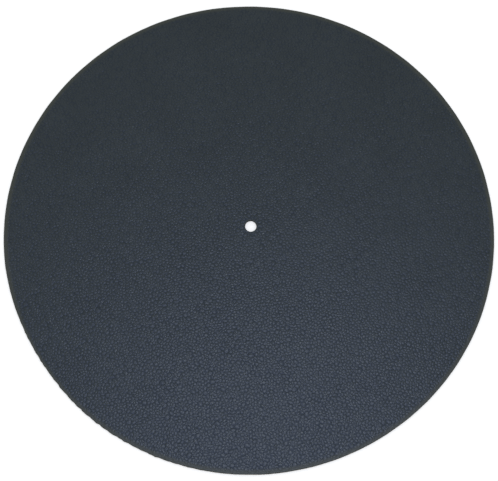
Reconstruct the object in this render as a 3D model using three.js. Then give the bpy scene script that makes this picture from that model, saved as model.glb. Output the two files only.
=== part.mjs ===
// Turntable platter mat: one disc of pebble-grained leather with a punched hole for the record spindle.
// Millimetres, +Z up. The flesh side lies on z = 0 and the grain side faces up.
// The origin is where the spindle's axis meets the flesh side.

import * as THREE from "three";

// Driving dimensions
const matDiameter = 300; // covers a platter for 12 inch records
const leatherThickness = 2;
const spindleHoleDiameter = 7.2; // a standard record spindle is about 7.1 across

// The die cuts from the grain side, so it draws the grain down beside each cut
const rimRollWidth = 2.4; // how far in from the outer cut the grain side starts to fall
const rimRollDrop = 0.18;
const holeRollWidth = 1.2; // the same beside the small punched hole
const holeRollDrop = 0.12;

// What is left of the corners once the cut edges are dyed and rubbed
const grainCornerRadius = 0.4;
const fleshCornerRadius = 0.15;

// Facets
const segmentsAround = 180;
const rollSteps = 3;
const grainCornerSteps = 5;
const fleshCornerSteps = 2;

const quarterTurn = Math.PI / 2;

// A rubbed corner in section: a quarter circle about its centre, which turns on from startAngle
function cornerPoints(centre, cornerRadius, startAngle, steps) {
  const points = [];
  for (let step = 0; step <= steps; step += 1) {
    const angle = startAngle + (step / steps) * quarterTurn;
    const radius = centre.x + cornerRadius * Math.cos(angle);
    const height = centre.y + cornerRadius * Math.sin(angle);
    points.push(new THREE.Vector2(radius, height));
  }
  return points;
}

// The grain side's fall from the level at levelRadius to the corner at cornerRadius.
// It leaves the level as a parabola does, so no crease shows where it begins.
function rollPoints(levelRadius, cornerRadius, drop) {
  const points = [];
  for (let step = 0; step < rollSteps; step += 1) {
    const share = step / rollSteps;
    const radius = THREE.MathUtils.lerp(levelRadius, cornerRadius, share);
    points.push(new THREE.Vector2(radius, leatherThickness - drop * share * share));
  }
  return points;
}

// The cut edge at the rim, from the flesh side up to the level grain
function rimEdge() {
  const radius = matDiameter / 2;
  const fleshCorner = new THREE.Vector2(radius - fleshCornerRadius, fleshCornerRadius);
  const grainCorner = new THREE.Vector2(
    radius - grainCornerRadius,
    leatherThickness - rimRollDrop - grainCornerRadius,
  );
  return [
    ...cornerPoints(fleshCorner, fleshCornerRadius, -quarterTurn, fleshCornerSteps),
    ...cornerPoints(grainCorner, grainCornerRadius, 0, grainCornerSteps),
    ...rollPoints(radius - rimRollWidth, grainCorner.x, rimRollDrop).reverse(),
  ];
}

// The punched edge at the spindle hole, from the level grain down to the flesh side
function holeEdge() {
  const radius = spindleHoleDiameter / 2;
  const fleshCorner = new THREE.Vector2(radius + fleshCornerRadius, fleshCornerRadius);
  const grainCorner = new THREE.Vector2(
    radius + grainCornerRadius,
    leatherThickness - holeRollDrop - grainCornerRadius,
  );
  return [
    ...rollPoints(radius + holeRollWidth, grainCorner.x, holeRollDrop),
    ...cornerPoints(grainCorner, grainCornerRadius, quarterTurn, grainCornerSteps),
    ...cornerPoints(fleshCorner, fleshCornerRadius, 2 * quarterTurn, fleshCornerSteps),
  ];
}

// The leather's whole section, anticlockwise and closed on its first point
function matSection() {
  const points = [...rimEdge(), ...holeEdge()];
  return [...points, points[0].clone()];
}

const dyedLeather = new THREE.MeshStandardMaterial({
  name: "dyed_leather",
  color: 0x373d44,
  roughness: 0.6,
  metalness: 0,
});

// The lathe turns the section about Y, and the quarter turn stands its axis along Z
const matGeometry = new THREE.LatheGeometry(matSection(), segmentsAround);
matGeometry.rotateX(quarterTurn);

const mat = new THREE.Mesh(matGeometry, dyedLeather);
mat.name = "leather_mat";

const platterMat = new THREE.Group();
platterMat.name = "platter_mat";
platterMat.add(mat);

export default platterMat;
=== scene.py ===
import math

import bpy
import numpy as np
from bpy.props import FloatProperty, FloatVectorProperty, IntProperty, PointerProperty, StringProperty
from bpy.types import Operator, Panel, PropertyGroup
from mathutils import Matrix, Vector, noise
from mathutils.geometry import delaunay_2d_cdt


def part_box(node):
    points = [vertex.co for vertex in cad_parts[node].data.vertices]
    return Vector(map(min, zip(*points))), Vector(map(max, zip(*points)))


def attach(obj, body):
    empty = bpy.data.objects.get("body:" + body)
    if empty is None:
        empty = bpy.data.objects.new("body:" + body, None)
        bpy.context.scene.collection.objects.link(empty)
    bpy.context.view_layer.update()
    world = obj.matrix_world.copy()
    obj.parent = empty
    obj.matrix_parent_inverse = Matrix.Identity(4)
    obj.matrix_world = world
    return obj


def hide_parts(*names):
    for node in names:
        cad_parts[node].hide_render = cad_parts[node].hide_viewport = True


bl_info = {
    "name": "Leather Platter Mat",
    "version": (1, 0, 0),
    "blender": (4, 5, 0),
    "location": "View3D > Sidebar > Platter Mat",
    "description": "Makes a pebble-grained leather platter mat around its CAD solid",
    "category": "Object",
}

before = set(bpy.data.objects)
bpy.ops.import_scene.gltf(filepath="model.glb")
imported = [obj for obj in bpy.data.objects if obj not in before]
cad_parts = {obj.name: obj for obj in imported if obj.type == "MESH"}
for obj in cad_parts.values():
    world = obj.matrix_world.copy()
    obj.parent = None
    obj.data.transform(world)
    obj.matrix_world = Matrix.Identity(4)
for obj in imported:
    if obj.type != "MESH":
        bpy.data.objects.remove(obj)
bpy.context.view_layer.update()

MM = 0.001
CAD_NODE = "leather_mat"
MAT_LOW, MAT_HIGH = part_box(CAD_NODE)
MAT_DIAMETER = MAT_HIGH.x - MAT_LOW.x
MAT_THICKNESS = MAT_HIGH.z - MAT_LOW.z

# How the knife strayed from the circle, slowly: waves round the mat, how far, and the angle of one crest
KNIFE_STRAYS = ((2, 0.10 * MM, 40), (3, 0.14 * MM, 43), (5, 0.07 * MM, -25))

# Shorter waves round the mat: some tremble along the whole cut, and some tear a stretch of it
TREMBLES = (17, 29, 43, 61)
TEARS = (97, 138, 185, 240)

# The torn stretch and the flat spot: the angle of the middle and how far each reaches to both sides
TORN_STRETCH = (-127, 45)
FLAT_STRETCH = (-147, 24)

# The punched hole: how much narrower it is drawn, its points, and its edge drop as a share of the rim's
HOLE_OVAL = 0.02
HOLE_POINTS = 40
HOLE_DROP = 0.66

# The pebbles, as shares of the step from one to the next
ROW_SHAKE = 0.6
RIM_SPACING = 0.95
RIM_SHAKE = 0.25
CLEAR_OF_CUT = 0.6
CORNER_SHAKE = 0.08
TOP_SHIFT = 0.06
CREASE_RUN = 0.58  # from a pebble's top to a crease of the full depth
STRETCH_WAVE = 3.2
STRETCH_REACH = 0.18

# How many times the shaken pebbles settle, and how far each time towards the middle of their neighbours
SETTLE_ROUNDS = 2
SETTLE_SHARE = 0.7

# Heights of the grain, as shares of the crease depth
DEEPEST_CREASE = 1.5
DEPTH_VARIES = 0.03
TOP_SWELL = 0.02
PRESSED_FLAT = 0.45  # what a crease loses beside a cut

# The cut edge and the underside
FRAY = 0.03 * MM
NAP_STEP = 5.5 * MM
NAP_SHAKE = 0.35  # as a share of the step
NAP_LIFT = 0.05 * MM

# The mat doesn't lie quite flat: the length and the height of its slow waves
LIE_LENGTH = 110 * MM
LIE_HEIGHT = 0.06 * MM

# The sweep reaches this far from the spindle, and lies this far under the mat
SWEEP_REACH = 3.0
SWEEP_GAP = 0.02 * MM

# The lamps hang this high, each above its spot on the sweep
LAMP_HEIGHT = 0.85
SKY_SPOT = (0.035, -0.09)
SKY_WIDTH = 0.48
WINDOW_SPOT = (0.035, -0.045)
WINDOW_WIDTH = 0.1

# Stage colours
BLUE_LIGHT = "#8BA1FF"
WHITE_LIGHT = "#F6FFF8"
PAPER = "#DEDED8"
WHITE = "#FFFFFF"


def cad_hole_radius():
    """The spindle hole's radius, read from the CAD solid: its points nearest to the spindle's axis."""
    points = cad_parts[CAD_NODE].data.vertices
    return min(math.hypot(point.co.x, point.co.y) for point in points)


class PlatterMatSizes(PropertyGroup):
    """What the mat is cut from and how it is cut. The outer sizes come from the CAD solid."""

    diameter: FloatProperty(
        name="Diameter",
        description="Across the mat",
        default=MAT_DIAMETER,
        unit="LENGTH",
    )
    thickness: FloatProperty(
        name="Leather Thickness",
        description="From the flesh side to the tops of the pebbles",
        default=MAT_THICKNESS,
        unit="LENGTH",
    )
    hole_diameter: FloatProperty(
        name="Spindle Hole",
        description="Across the punched hole",
        default=2 * cad_hole_radius(),
        unit="LENGTH",
    )
    pebble: FloatProperty(
        name="Pebble",
        description="From one pebble of the grain to the next",
        default=1.9 * MM,
        unit="LENGTH",
    )
    crease: FloatProperty(
        name="Crease Depth",
        description="From the tops of the pebbles down into the creases between them",
        default=0.195 * MM,
        unit="LENGTH",
    )
    edge_roll: FloatProperty(
        name="Edge Roll",
        description="How far in from a cut the grain side starts to fall",
        default=2.4 * MM,
        unit="LENGTH",
    )
    edge_drop: FloatProperty(
        name="Edge Drop",
        description="How far the die draws the grain down beside the rim",
        default=0.18 * MM,
        unit="LENGTH",
    )
    corner: FloatProperty(
        name="Rubbed Corner",
        description="Radius of the grain side's corner after dyeing and rubbing",
        default=0.4 * MM,
        unit="LENGTH",
    )
    flesh_corner: FloatProperty(
        name="Flesh Corner",
        description="Radius of the flesh side's corner",
        default=0.15 * MM,
        unit="LENGTH",
    )
    cut_wander: FloatProperty(
        name="Cut Wander",
        description="How far the hand-guided cut trembles",
        default=0.04 * MM,
        unit="LENGTH",
    )
    off_centre: FloatVectorProperty(
        name="Off Centre",
        description="Where the rim's centre lies from the spindle",
        size=2,
        default=(-0.7 * MM, -0.4 * MM),
        unit="LENGTH",
    )
    tear: FloatProperty(
        name="Tear",
        description="How far the cut is torn at the front left",
        default=0.11 * MM,
        unit="LENGTH",
    )
    flat_depth: FloatProperty(
        name="Flat Spot",
        description="How far the cut runs inside the circle at the front left",
        default=0.65 * MM,
        unit="LENGTH",
    )
    seed: IntProperty(name="Hide", description="Picks the piece of hide", default=7, min=0)


class PlatterMatColours(PropertyGroup):
    """Dyes and finishes, as sRGB hex values. The crease colour is darker than the grain colour partly as
    painted shade in the creases.
    """

    grain: StringProperty(
        name="Grain", description="Blue-black dye, rubbed warmer on the pebbles", default="#343B3B"
    )
    # The crease colour is bluer dye, and it is darker than the grain colour as painted shade in the
    # creases
    crease: StringProperty(
        name="Crease", description="The same dye, bluer and deeper in the creases", default="#293237"
    )
    rim: StringProperty(
        name="Rim Dye", description="Edge dye that crept onto the grain", default="#3F4339"
    )
    cut: StringProperty(
        name="Cut Edge", description="Dyed fibres of the cut edge", default="#2B2823"
    )
    flesh: StringProperty(
        name="Flesh Side", description="Dyed nap of the underside", default="#2C3036"
    )


class PlatterMatStage(PropertyGroup):
    """Light and floor around the mat."""

    sky: FloatProperty(
        name="Sky", description="Power of the wide blue lamp above", default=1.04, unit="POWER"
    )
    window: FloatProperty(
        name="Window", description="Power of the small white lamp above", default=0.43, unit="POWER"
    )
    surround: FloatProperty(
        name="Surround", description="Plain light from all round", default=0.84, min=0.0
    )


def linear(hex_colour):
    """An sRGB hex colour as the linear RGBA that shaders take."""
    shares = [int(hex_colour[i : i + 2], 16) / 255 for i in (1, 3, 5)]
    return (*(s / 12.92 if s <= 0.04045 else ((s + 0.055) / 1.055) ** 2.4 for s in shares), 1.0)


def add_node(tree, kind, settings=None, **sockets):
    """Adds a node. settings are its own properties. sockets are its inputs by name or index: a value,
    or the output socket to link from."""
    node = tree.nodes.new(kind)
    for name, value in (settings or {}).items():
        setattr(node, name, value)
    for name, value in sockets.items():
        spot = node.inputs[int(name[1:]) if name[0] == "_" else name.replace("_", " ")]
        if isinstance(value, bpy.types.NodeSocket):
            tree.links.new(value, spot)
        else:
            spot.default_value = value
    return node


def new_material(name):
    """A named material with an empty node tree."""
    material = bpy.data.materials.new(name)
    material.use_nodes = True
    material.node_tree.nodes.clear()
    return material


def unevenness(points, length, seed):
    """Slow unevenness over the hide, of about that length, mostly from -1 to 1."""
    gain = 1.6
    layer = 7.3 * seed
    return np.array([gain * noise.noise((x / length, y / length, layer)) for x, y in points[:, :2]])


def near(angles, centre, half):
    """From 1 at one angle of the rim smoothly down to 0 at half degrees away from it."""
    away = np.abs((np.degrees(angles) - centre + 180) % 360 - 180)
    return np.where(away < half, 0.5 + 0.5 * np.cos(math.pi * away / half), 0)


def rim_radius(angles, sizes):
    """The cut's distance from the spindle: a circle that the knife strays from a little. At the front
    left it runs inside the circle, and around there it tears."""
    radius = np.full(len(angles), sizes.diameter / 2)
    for waves, amount, crest in KNIFE_STRAYS:
        radius += amount * np.cos(waves * (angles - math.radians(crest)))
    rng = np.random.default_rng(sizes.seed + 1)
    for waves in TREMBLES:
        radius += sizes.cut_wander * np.sin(waves * angles + rng.uniform(0, 2 * math.pi)) / 2
    for waves in TEARS:
        torn = near(angles, *TORN_STRETCH) * np.sin(waves * angles + rng.uniform(0, 2 * math.pi))
        radius += sizes.tear * torn
    radius -= sizes.flat_depth * near(angles, *FLAT_STRETCH)
    return radius + sizes.off_centre[0] * np.cos(angles) + sizes.off_centre[1] * np.sin(angles)


def hole_radius(angles, sizes):
    """The punched hole, drawn a little narrower along one way of the hide than the other."""
    return sizes.hole_diameter / 2 * (1 - HOLE_OVAL * (1 + np.cos(2 * angles)))


def polar(angles, radii):
    """Flat points at those angles and radii."""
    return np.c_[radii * np.cos(angles), radii * np.sin(angles)]


def neighbours(faces):
    """Every pair of points that a triangle joins, each pair once, with the lower number first."""
    sides = np.concatenate([faces[:, [0, 1]], faces[:, [1, 2]], faces[:, [2, 0]]])
    return np.unique(np.sort(sides, axis=1), axis=0)


def pebble_centres(sizes, rng):
    """Where the pebbles stand: rows shaken well and then settled until they crowd each other evenly."""
    step = sizes.pebble
    reach = sizes.diameter / 2 + 4 * step
    row_step = step * math.sqrt(3) / 2
    x, y = np.meshgrid(np.arange(-reach, reach, step), np.arange(-reach, reach, row_step))
    x[1::2] += step / 2
    points = np.c_[x.ravel(), y.ravel()]
    points += rng.uniform(-ROW_SHAKE, ROW_SHAKE, points.shape) * step
    for _ in range(SETTLE_ROUNDS):
        a, b = neighbours(triangulate(points, 0, 0)).T
        here, there = np.r_[a, b], np.r_[b, a]
        count = np.bincount(here, minlength=len(points))
        middle = [np.bincount(here, points[there, axis], len(points)) / count for axis in (0, 1)]
        points += SETTLE_SHARE * (np.transpose(middle) - points)
    return points


def stretch(points, length, reach, rng):
    """How far the shrinking hide shifts its points sideways, in waves of about that length. The shift
    runs across each wave, so it squeezes the pebbles one way and draws them out the other."""
    shift = np.zeros(points.shape)
    count = 16
    for _ in range(count):
        heading = rng.uniform(0, 2 * math.pi)
        wave = length * rng.uniform(0.8, 1.25)
        along = points @ [math.cos(heading), math.sin(heading)]
        swing = np.sin(2 * math.pi * along / wave + rng.uniform(0, 2 * math.pi))
        shift += swing[:, None] * [-math.sin(heading), math.cos(heading)]
    return shift * reach / math.sqrt(count / 2)


def grain_points(sizes, rng):
    """Flat points of the grain side: the rings beside the rim and the hole, and the pebbles."""
    around = int(math.pi * sizes.diameter / (RIM_SPACING * sizes.pebble))
    shaken = np.arange(around) + rng.uniform(-RIM_SHAKE, RIM_SHAKE, around)
    rim_angles = shaken * 2 * math.pi / around
    rim = polar(rim_angles, rim_radius(rim_angles, sizes) - sizes.corner)
    hole_angles = np.arange(HOLE_POINTS) * 2 * math.pi / HOLE_POINTS
    hole = polar(hole_angles, hole_radius(hole_angles, sizes) + sizes.corner)
    pebbles = pebble_centres(sizes, rng)
    angles, radii = np.arctan2(pebbles[:, 1], pebbles[:, 0]), np.hypot(*pebbles.T)
    clear = CLEAR_OF_CUT * sizes.pebble + sizes.corner
    inside = (radii < rim_radius(angles, sizes) - clear) & (radii > hole_radius(angles, sizes) + clear)
    return rim, hole, pebbles[inside]


def triangulate(points, rim_count, hole_count):
    """Triangles between the points, anticlockwise, without those that would close the hole or fill a
    hollow of the rim. One of these last takes its three rim points the other way round."""
    closest = 1e-6  # points nearer to each other than this, in mm, would count as one
    made = delaunay_2d_cdt([Vector(p / MM) for p in points], [], [], 0, closest)
    source = np.array([found[0] for found in made[3]])
    faces = source[np.array(made[2])]
    in_hole = (faces >= rim_count) & (faces < rim_count + hole_count)
    faces = faces[~in_hole.all(axis=1)]
    a, b, c = (points[faces[:, i]] for i in range(3))
    turn = (b[:, 0] - a[:, 0]) * (c[:, 1] - a[:, 1]) - (b[:, 1] - a[:, 1]) * (c[:, 0] - a[:, 0])
    faces[turn < 0] = faces[turn < 0][:, ::-1]
    if rim_count == 0:
        return faces
    a, b, c = faces.T
    backward = (b - a) % rim_count > (c - a) % rim_count
    return faces[~((faces < rim_count).all(axis=1) & backward)]


def follow_loop(edges, start):
    """The closed chain of directed edges from start, as point numbers in order."""
    following = dict(edges.tolist())
    chain = [start]
    while following[chain[-1]] != start:
        chain.append(following[chain[-1]])
    return np.array(chain)


def boundary(faces):
    """Directed edges that only one triangle uses."""
    edges = np.concatenate([faces[:, [0, 1]], faces[:, [1, 2]], faces[:, [2, 0]]])
    keys = edges.min(axis=1).astype(np.int64) * (faces.max() + 1) + edges.max(axis=1)
    _, first, uses = np.unique(keys, return_index=True, return_counts=True)
    return edges[first[uses == 1]]


def edge_fall(radii, angles, sizes):
    """How far the grain side has fallen beside the two cuts, and how near it is to them, up to 1."""
    rim = rim_radius(angles, sizes) - sizes.corner
    hole = hole_radius(angles, sizes) + sizes.corner
    share = np.clip(1 - (rim - radii) / (sizes.edge_roll - sizes.corner), 0, 1)
    hole_share = np.clip(1 - (radii - hole) / (sizes.edge_roll / 2 - sizes.corner), 0, 1)
    return sizes.edge_drop * (share**2 + HOLE_DROP * hole_share**2), np.maximum(share, hole_share)


def opposite_sides(faces):
    """For triangles between points: the pairs of neighbouring points with the triangles right and left
    of each pair, and the pairs along a cut with the one triangle beside them."""
    start = faces.ravel()
    end = np.roll(faces, -1, axis=1).ravel()
    side = np.repeat(np.arange(len(faces)), 3)
    many = start.max() + 1
    keys = start * many + end
    order = np.argsort(keys)
    spot = np.clip(np.searchsorted(keys[order], end * many + start), 0, len(keys) - 1)
    other = order[spot]
    shared = keys[other] == end * many + start
    once = shared & (start < end)
    return np.c_[start, end, side, side[other]][once], np.c_[start, end, side][~shared]


def grain_side(sizes, rng):
    """The pebbled side: points, triangles, how creased each point is, and the loops at the rim and the
    hole. Each pebble rises to its own point. The creases run between the middles of the triangles that
    join the pebbles. The larger a pebble is, the deeper its creases, so all are about as steep."""
    rim, hole, pebbles = grain_points(sizes, rng)
    tops = np.concatenate([rim, hole, pebbles])
    faces = triangulate(tops, len(rim), len(hole))
    pairs, cut_pairs = opposite_sides(faces)
    shake = CORNER_SHAKE * sizes.pebble
    corners = tops[faces].mean(axis=1) + rng.uniform(-shake, shake, (len(faces), 2))
    points = np.concatenate([tops, corners])
    a, b, left, right = pairs.T
    left, right = left + len(tops), right + len(tops)
    beside_cut = cut_pairs + np.array([0, 0, len(tops)])
    triangles = np.concatenate([np.c_[a, right, left], np.c_[b, left, right], beside_cut])

    run = np.linalg.norm(tops[faces] - corners[:, None], axis=2).mean(axis=1)
    depth = np.r_[np.zeros(len(tops)), np.minimum(run / (CREASE_RUN * sizes.pebble), DEEPEST_CREASE)]
    cut_tops = len(rim) + len(hole)
    points[cut_tops : len(tops)] += rng.uniform(-1, 1, pebbles.shape) * TOP_SHIFT * sizes.pebble
    depth *= 1 + DEPTH_VARIES * rng.uniform(-1, 1, len(points))
    swell = TOP_SWELL * rng.uniform(-1, 1, len(points)) * (depth == 0)
    _, held = edge_fall(np.hypot(*points.T), np.arctan2(points[:, 1], points[:, 0]), sizes)
    shift = stretch(points, STRETCH_WAVE * sizes.pebble, STRETCH_REACH * sizes.pebble, rng)
    points += (1 - held)[:, None] * shift
    radii, angles = np.hypot(*points.T), np.arctan2(points[:, 1], points[:, 0])
    fall, pressed = edge_fall(radii, angles, sizes)
    height = sizes.crease * (swell - depth) * (1 - PRESSED_FLAT * pressed)
    points = np.c_[points, sizes.thickness - fall + height]
    loop = boundary(triangles)
    return points, triangles, depth, follow_loop(loop, 0), follow_loop(loop, len(rim))


def cut_wall(loop_points, radius_of, outward, drop, sizes, rng):
    """Rows of points down a cut, from a loop on the grain side to the start of the flesh side: the
    rubbed corner, the fibres of the cut and the flesh side's corner. outward is 1 at the rim and -1 at
    the hole."""
    angles = np.arctan2(loop_points[:, 1], loop_points[:, 0])
    edge = radius_of(angles, sizes)
    level = sizes.thickness - drop
    ragged = loop_points[:, 2] - level
    rows = []
    corner_steps = 4
    for step in range(1, corner_steps + 1):
        turn = step / corner_steps * math.pi / 2
        out = sizes.corner * (math.sin(turn) - 1)
        height = level - sizes.corner * (1 - math.cos(turn)) + ragged * (1 - step / corner_steps)
        rows.append((out, height))
    cut_top, cut_low = level - sizes.corner, sizes.flesh_corner
    for share in (0.33, 0.67):
        rows.append((0.0, cut_top + (cut_low - cut_top) * share))
    flesh_steps = 2
    for step in range(flesh_steps + 1):
        turn = step / flesh_steps * math.pi / 2
        out = sizes.flesh_corner * (math.cos(turn) - 1)
        rows.append((out, sizes.flesh_corner * (1 - math.sin(turn))))
    made = []
    for number, (out, height) in enumerate(rows):
        fray = FRAY * rng.normal(0, 1, len(angles)) * (number >= corner_steps)
        radii = edge + outward * (out + fray)
        made.append(np.c_[polar(angles, radii), np.broadcast_to(height, len(angles))])
    return made


def join_rows(upper, lower):
    """Two triangles between each pair of neighbours on two closed rows of points."""
    upper_next, lower_next = np.roll(upper, -1), np.roll(lower, -1)
    return np.concatenate([np.c_[upper, lower, lower_next], np.c_[upper, lower_next, upper_next]])


def flesh_side(rim_row, hole_row, sizes, rng):
    """The underside between its two corner rows: scattered points, and triangles that face down. To find
    the triangles, both rows are taken as true circles."""
    reach = sizes.diameter / 2
    x, y = np.meshgrid(np.arange(-reach, reach, NAP_STEP), np.arange(-reach, reach, NAP_STEP))
    points = np.c_[x.ravel(), y.ravel()]
    points += rng.uniform(-NAP_SHAKE, NAP_SHAKE, points.shape) * NAP_STEP
    radii = np.hypot(*points.T)
    inner, outer = sizes.hole_diameter / 2 + 0.5 * NAP_STEP, reach - 0.9 * NAP_STEP
    points = points[(radii < outer) & (radii > inner)]
    rings = []
    for row in (rim_row, hole_row):
        rings.append(polar(np.arctan2(row[:, 1], row[:, 0]), np.hypot(*row[:, :2].T).mean()))
    faces = triangulate(np.concatenate([*rings, points]), len(rim_row), len(hole_row))[:, ::-1]
    lift = NAP_LIFT * rng.uniform(0, 1, len(points))
    return np.c_[points, lift], faces


def mat_mesh(sizes):
    """The whole mat as one closed mesh: grain side, two cut edges and flesh side."""
    rng = np.random.default_rng(sizes.seed)
    points, triangles, creased, rim_loop, hole_loop = grain_side(sizes, rng)
    blocks, faces, finishes = [points], [triangles], [np.zeros(len(triangles), int)]
    count = len(points)
    last = {}
    for loop, radius_of, outward, drop in (
        (rim_loop, rim_radius, 1, sizes.edge_drop),
        (hole_loop, hole_radius, -1, HOLE_DROP * sizes.edge_drop),
    ):
        upper = loop
        for number, row in enumerate(cut_wall(points[loop], radius_of, outward, drop, sizes, rng)):
            lower = np.arange(len(loop)) + count
            made = join_rows(upper, lower)
            blocks.append(row)
            faces.append(made)
            finishes.append(np.full(len(made), 0 if number < 2 else 1))
            count += len(row)
            upper = lower
        last[outward] = (upper, row)
    (rim_ids, rim_row), (hole_ids, hole_row) = last[1], last[-1]
    under, under_faces = flesh_side(rim_row, hole_row, sizes, rng)
    ids = np.concatenate([rim_ids, hole_ids, np.arange(len(under)) + count])
    blocks.append(under)
    faces.append(ids[under_faces])
    finishes.append(np.full(len(under_faces), 2))

    points, triangles, finish = np.concatenate(blocks), np.concatenate(faces), np.concatenate(finishes)
    lie = unevenness(points, LIE_LENGTH, sizes.seed + 5)
    points[:, 2] += LIE_HEIGHT * (lie - lie.min())
    crease = np.zeros(len(points))
    crease[: len(creased)] = creased

    mesh = bpy.data.meshes.new("platter_mat")
    mesh.from_pydata(points.tolist(), [], triangles.tolist())
    mesh.polygons.foreach_set("use_smooth", np.ones(len(triangles), bool))
    mesh.polygons.foreach_set("material_index", finish.astype(np.int32))
    attribute = mesh.attributes.new("crease", "FLOAT", "POINT")
    attribute.data.foreach_set("value", crease.astype(np.float32))
    ends = np.empty(2 * len(mesh.edges), np.int32)
    mesh.edges.foreach_get("vertices", ends)
    sharp = (crease[ends.reshape(-1, 2)] > 0).all(axis=1)
    mesh.attributes.new("sharp_edge", "BOOLEAN", "EDGE").data.foreach_set("value", sharp)
    mesh.update()
    return mesh


def pebble_grain_leather(colours, sizes):
    """Cowhide, drum dyed blue-black and shrunk so that its grain stands up in pebbles, under a thin
    satin finish. The eye gets a near-black navy, pebbles with a soft shine on top, and duller creases,
    painted darker partly with bluer dye and partly as painted shade."""
    material = new_material("drum_dyed_pebble_grain_cowhide")
    tree = material.node_tree
    place = add_node(tree, "ShaderNodeTexCoord").outputs["Object"]
    crease = add_node(tree, "ShaderNodeAttribute", {"attribute_name": "crease"}).outputs["Fac"]

    # The dye takes unevenly over patches of about 30 mm
    patches = add_node(tree, "ShaderNodeTexNoise", Vector=place, Scale=1 / (30 * MM), Detail=1.0)
    tint = add_node(
        tree,
        "ShaderNodeMapRange",
        Value=patches.outputs["Fac"],
        From_Min=0.3,
        From_Max=0.7,
        To_Min=0.95,
        To_Max=1.05,
    )
    # Painted shade and bluer dye in the creases: the deeper a point lies, the more it takes the darker
    # crease colour
    crease_dye_and_shade = add_node(
        tree,
        "ShaderNodeMath",
        {"operation": "POWER", "use_clamp": True},
        _0=crease,
        _1=2.0,
    )
    dyed = add_node(
        tree,
        "ShaderNodeMix",
        {"data_type": "RGBA"},
        _0=crease_dye_and_shade.outputs[0],
        _6=linear(colours.grain),
        _7=linear(colours.crease),
    )
    toned = add_node(
        tree,
        "ShaderNodeVectorMath",
        {"operation": "SCALE"},
        _0=dyed.outputs[2],
        Scale=tint.outputs["Result"],
    )

    # Edge dye that crept 3 mm over the rim
    from_centre = add_node(
        tree,
        "ShaderNodeVectorMath",
        {"operation": "SUBTRACT"},
        _0=place,
        _1=(*sizes.off_centre, 0.0),
    )
    radius = add_node(tree, "ShaderNodeVectorMath", {"operation": "LENGTH"}, _0=from_centre.outputs[0])
    crept = add_node(
        tree,
        "ShaderNodeMapRange",
        {"interpolation_type": "SMOOTHSTEP"},
        Value=radius.outputs["Value"],
        From_Min=sizes.diameter / 2 - 3.4 * MM,
        From_Max=sizes.diameter / 2 - 1.2 * MM,
        To_Min=0.0,
        To_Max=0.8,
    )
    coloured = add_node(
        tree,
        "ShaderNodeMix",
        {"data_type": "RGBA"},
        _0=crept.outputs["Result"],
        _6=toned.outputs[0],
        _7=linear(colours.rim),
    )

    # Hair pores 0.6 mm apart and fine wrinkles of 1.0 mm across the pebbles
    pores = add_node(
        tree, "ShaderNodeTexVoronoi", {"feature": "SMOOTH_F1"}, Vector=place, Scale=1 / (0.6 * MM)
    )
    wrinkles = add_node(tree, "ShaderNodeTexNoise", Vector=place, Scale=1 / (1.0 * MM), Detail=1.0)
    relief = add_node(
        tree,
        "ShaderNodeMath",
        {"operation": "MULTIPLY_ADD"},
        _0=wrinkles.outputs["Fac"],
        _1=1.2,
        _2=pores.outputs["Distance"],
    )
    bump = add_node(
        tree, "ShaderNodeBump", Strength=0.9, Distance=0.06 * MM, Height=relief.outputs[0]
    )

    # Handling polishes the tops of the pebbles and leaves the creases dull. The edge dye dries dull too
    shine = add_node(
        tree,
        "ShaderNodeMapRange",
        Value=crease,
        From_Min=0.0,
        From_Max=1.0,
        To_Min=0.24,
        To_Max=0.3,
    )
    rough = add_node(
        tree,
        "ShaderNodeMath",
        {"operation": "MULTIPLY_ADD"},
        _0=patches.outputs["Fac"],
        _1=0.04,
        _2=shine.outputs["Result"],
    )
    rough = add_node(
        tree,
        "ShaderNodeMath",
        {"operation": "MULTIPLY_ADD"},
        _0=crept.outputs["Result"],
        _1=0.12,
        _2=rough.outputs[0],
    )
    shader = add_node(
        tree,
        "ShaderNodeBsdfPrincipled",
        Base_Color=coloured.outputs[2],
        Roughness=rough.outputs[0],
        IOR=1.5,
        Specular_IOR_Level=0.5,
        Normal=bump.outputs["Normal"],
    )
    add_node(tree, "ShaderNodeOutputMaterial", Surface=shader.outputs["BSDF"])
    return material


def cut_edge_leather(colours):
    """The same hide cut across its fibres, dyed brown-black and rubbed. The eye gets a dull, slightly
    warm, felted band with faint mottling."""
    material = new_material("edge_dyed_cut_cowhide")
    tree = material.node_tree
    place = add_node(tree, "ShaderNodeTexCoord").outputs["Object"]
    fibres = add_node(tree, "ShaderNodeTexNoise", Vector=place, Scale=1 / (0.5 * MM), Detail=5.0)
    shade = add_node(
        tree,
        "ShaderNodeMapRange",
        Value=fibres.outputs["Fac"],
        From_Min=0.3,
        From_Max=0.7,
        To_Min=0.6,
        To_Max=1.5,
    )
    dyed = add_node(
        tree,
        "ShaderNodeVectorMath",
        {"operation": "SCALE"},
        _0=linear(colours.cut)[:3],
        Scale=shade.outputs["Result"],
    )
    bump = add_node(
        tree, "ShaderNodeBump", Strength=0.7, Distance=0.08 * MM, Height=fibres.outputs["Fac"]
    )
    shader = add_node(
        tree,
        "ShaderNodeBsdfPrincipled",
        Base_Color=dyed.outputs[0],
        Roughness=0.8,
        IOR=1.5,
        Specular_IOR_Level=0.3,
        Normal=bump.outputs["Normal"],
    )
    add_node(tree, "ShaderNodeOutputMaterial", Surface=shader.outputs["BSDF"])
    return material


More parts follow.
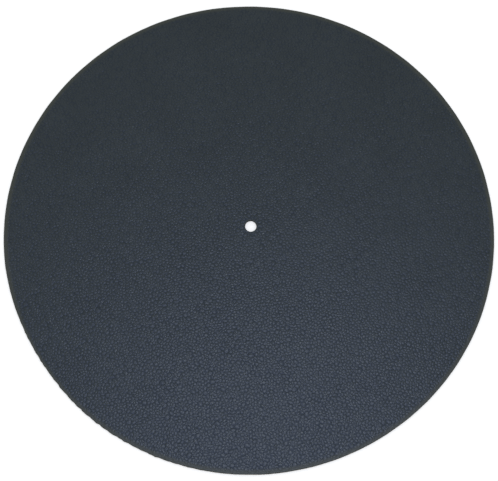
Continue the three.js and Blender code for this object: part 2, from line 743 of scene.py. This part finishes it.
def flesh_side_leather(colours):
    """The inner side of the hide, split and dyed but not coated. The eye gets a dull nap of short fibres
    that lies in clouds, lighter where it is brushed up."""
    material = new_material("split_flesh_side_cowhide")
    tree = material.node_tree
    place = add_node(tree, "ShaderNodeTexCoord").outputs["Object"]
    clouds = add_node(tree, "ShaderNodeTexNoise", Vector=place, Scale=1 / (18 * MM), Detail=4.0)
    nap = add_node(tree, "ShaderNodeTexNoise", Vector=place, Scale=1 / (0.7 * MM), Detail=6.0)
    mixed = add_node(
        tree,
        "ShaderNodeMath",
        {"operation": "MULTIPLY"},
        _0=clouds.outputs["Fac"],
        _1=nap.outputs["Fac"],
    )
    shade = add_node(
        tree,
        "ShaderNodeMapRange",
        Value=mixed.outputs[0],
        From_Min=0.12,
        From_Max=0.4,
        To_Min=0.65,
        To_Max=1.5,
    )
    dyed = add_node(
        tree,
        "ShaderNodeVectorMath",
        {"operation": "SCALE"},
        _0=linear(colours.flesh)[:3],
        Scale=shade.outputs["Result"],
    )
    bump = add_node(tree, "ShaderNodeBump", Strength=0.8, Distance=0.12 * MM, Height=nap.outputs["Fac"])
    shader = add_node(
        tree,
        "ShaderNodeBsdfPrincipled",
        Base_Color=dyed.outputs[0],
        Roughness=0.9,
        IOR=1.5,
        Specular_IOR_Level=0.2,
        Normal=bump.outputs["Normal"],
    )
    add_node(tree, "ShaderNodeOutputMaterial", Surface=shader.outputs["BSDF"])
    return material


class PLATTERMAT_OT_cut_mat(Operator):
    """Cut the mat from pebble-grained leather, in place of the CAD solid"""

    bl_idname = "platter_mat.cut_mat"
    bl_label = "Cut Leather Mat"

    def execute(self, context):
        sizes, colours = context.scene.platter_mat_sizes, context.scene.platter_mat_colours
        mesh = mat_mesh(sizes)
        mesh.materials.append(pebble_grain_leather(colours, sizes))
        mesh.materials.append(cut_edge_leather(colours))
        mesh.materials.append(flesh_side_leather(colours))
        mat = bpy.data.objects.new("platter_mat", mesh)
        context.scene.collection.objects.link(mat)
        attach(mat, "root")
        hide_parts(CAD_NODE)
        return {"FINISHED"}


def sweep_paper():
    """White background paper, smooth and matt. It stays white to the eye and keeps the mat's shadow."""
    material = new_material("white_sweep_paper")
    tree = material.node_tree
    rays = add_node(tree, "ShaderNodeLightPath")
    seen = add_node(
        tree,
        "ShaderNodeMath",
        {"operation": "MAXIMUM"},
        _0=rays.outputs["Is Camera Ray"],
        _1=rays.outputs["Is Glossy Ray"],
    )
    seen = add_node(
        tree,
        "ShaderNodeMath",
        {"operation": "MAXIMUM"},
        _0=seen.outputs[0],
        _1=rays.outputs["Is Transmission Ray"],
    )
    paper = add_node(tree, "ShaderNodeBsdfDiffuse", Color=linear(PAPER))
    glow = add_node(
        tree,
        "ShaderNodeMath",
        {"operation": "MULTIPLY"},
        _0=seen.outputs[0],
        _1=0.42,
    )
    light = add_node(tree, "ShaderNodeEmission", Color=linear(WHITE), Strength=glow.outputs[0])
    both = add_node(tree, "ShaderNodeAddShader", _0=paper.outputs[0], _1=light.outputs[0])
    add_node(tree, "ShaderNodeOutputMaterial", Surface=both.outputs[0])
    return material


def soft_lamp(name, spot, width, power, colour):
    """A square lamp of that width above a spot on the sweep. Unturned, it faces straight down."""
    lamp = bpy.data.lights.new(name, "AREA")
    lamp.size = width
    lamp.energy = power
    lamp.color = linear(colour)[:3]
    holder = bpy.data.objects.new(name, lamp)
    holder.location = (*spot, LAMP_HEIGHT)
    bpy.context.scene.collection.objects.link(holder)


def light_surround(level):
    """Plain light from all round. A shiny surface mirrors a pale sweep low down and a dim ceiling."""
    world = bpy.data.worlds.new("studio")
    world.use_nodes = True
    tree = world.node_tree
    tree.nodes.clear()
    rays = add_node(tree, "ShaderNodeLightPath")
    way = add_node(tree, "ShaderNodeTexCoord").outputs["Generated"]
    height = add_node(tree, "ShaderNodeSeparateXYZ", Vector=way).outputs["Z"]
    mirrored = add_node(
        tree,
        "ShaderNodeMapRange",
        {"interpolation_type": "SMOOTHSTEP"},
        Value=height,
        From_Min=0.1,
        From_Max=0.5,
        To_Min=1.0,
        To_Max=0.12,
    )
    seen = add_node(
        tree,
        "ShaderNodeMath",
        {"operation": "MAXIMUM"},
        _0=rays.outputs["Is Glossy Ray"],
        _1=rays.outputs["Is Transmission Ray"],
    )
    strength = add_node(
        tree,
        "ShaderNodeMix",
        {"data_type": "FLOAT"},
        _0=seen.outputs[0],
        _2=level,
        _3=mirrored.outputs["Result"],
    )
    strength = add_node(
        tree,
        "ShaderNodeMix",
        {"data_type": "FLOAT"},
        _0=rays.outputs["Is Camera Ray"],
        _2=strength.outputs[0],
        _3=1.0,
    )
    sky = add_node(tree, "ShaderNodeBackground", Color=linear(WHITE), Strength=strength.outputs[0])
    add_node(tree, "ShaderNodeOutputWorld", Surface=sky.outputs[0])
    bpy.context.scene.world = world


def place_camera():
    """The photograph's view: from above the mat's near side, a little rolled."""
    focal_px = 1234.2
    frame_width_px = 498
    tilt, roll = math.radians(17.07), math.radians(2.0)
    aim = Vector((-0.78, -8.78, 0.0)) * MM
    distance = 755.2 * MM
    sensor = 36.0
    camera = bpy.data.cameras.new("camera")
    camera.sensor_width = sensor
    camera.lens = sensor * focal_px / frame_width_px
    camera.clip_start, camera.clip_end = 0.05, 20.0
    back = Vector((0.0, -math.sin(tilt), math.cos(tilt)))
    across = Vector((1.0, 0.0, 0.0))
    upward = back.cross(across)
    right = math.cos(roll) * across + math.sin(roll) * upward
    up = math.cos(roll) * upward - math.sin(roll) * across
    holder = bpy.data.objects.new("camera", camera)
    turned = Matrix((right, up, back)).transposed().to_4x4()
    holder.matrix_world = Matrix.Translation(aim + distance * back) @ turned
    bpy.context.scene.collection.objects.link(holder)
    bpy.context.scene.camera = holder


class PLATTERMAT_OT_set_stage(Operator):
    """Lay the sweep, hang the lamps and place the camera"""

    bl_idname = "platter_mat.set_stage"
    bl_label = "Set Stage"

    def execute(self, context):
        stage = context.scene.platter_mat_stage
        floor_mesh = bpy.data.meshes.new("sweep")
        corners = [(SWEEP_REACH * x, SWEEP_REACH * y, 0) for x, y in ((-1, -1), (1, -1), (1, 1), (-1, 1))]
        floor_mesh.from_pydata(corners, [], [(0, 1, 2, 3)])
        floor_mesh.materials.append(sweep_paper())
        floor = bpy.data.objects.new("sweep", floor_mesh)
        floor.location.z = -SWEEP_GAP
        context.scene.collection.objects.link(floor)
        soft_lamp("sky", SKY_SPOT, SKY_WIDTH, stage.sky, BLUE_LIGHT)
        soft_lamp("window", WINDOW_SPOT, WINDOW_WIDTH, stage.window, WHITE_LIGHT)
        light_surround(stage.surround)
        place_camera()
        context.scene.view_settings.view_transform = "Standard"
        return {"FINISHED"}


class PLATTERMAT_PT_panel(Panel):
    """Sizes, dyes and light of the platter mat"""

    bl_label = "Platter Mat"
    bl_idname = "PLATTERMAT_PT_panel"
    bl_space_type = "VIEW_3D"
    bl_region_type = "UI"
    bl_category = "Platter Mat"

    def draw(self, context):
        layout = self.layout
        for group in ("platter_mat_sizes", "platter_mat_colours", "platter_mat_stage"):
            values = getattr(context.scene, group)
            box = layout.box()
            for name in values.__annotations__:
                box.prop(values, name)
        for operator in (PLATTERMAT_OT_cut_mat, PLATTERMAT_OT_set_stage):
            layout.operator(operator.bl_idname)


CLASSES = (
    PlatterMatSizes,
    PlatterMatColours,
    PlatterMatStage,
    PLATTERMAT_OT_cut_mat,
    PLATTERMAT_OT_set_stage,
    PLATTERMAT_PT_panel,
)
GROUPS = {
    "platter_mat_sizes": PlatterMatSizes,
    "platter_mat_colours": PlatterMatColours,
    "platter_mat_stage": PlatterMatStage,
}


def register():
    for made in CLASSES:
        bpy.utils.register_class(made)
    for name, group in GROUPS.items():
        setattr(bpy.types.Scene, name, PointerProperty(type=group))


def unregister():
    for name in GROUPS:
        delattr(bpy.types.Scene, name)
    for made in reversed(CLASSES):
        bpy.utils.unregister_class(made)


def main():
    register()
    bpy.ops.platter_mat.set_stage()
    bpy.ops.platter_mat.cut_mat()


if __name__ == "__main__":
    main()
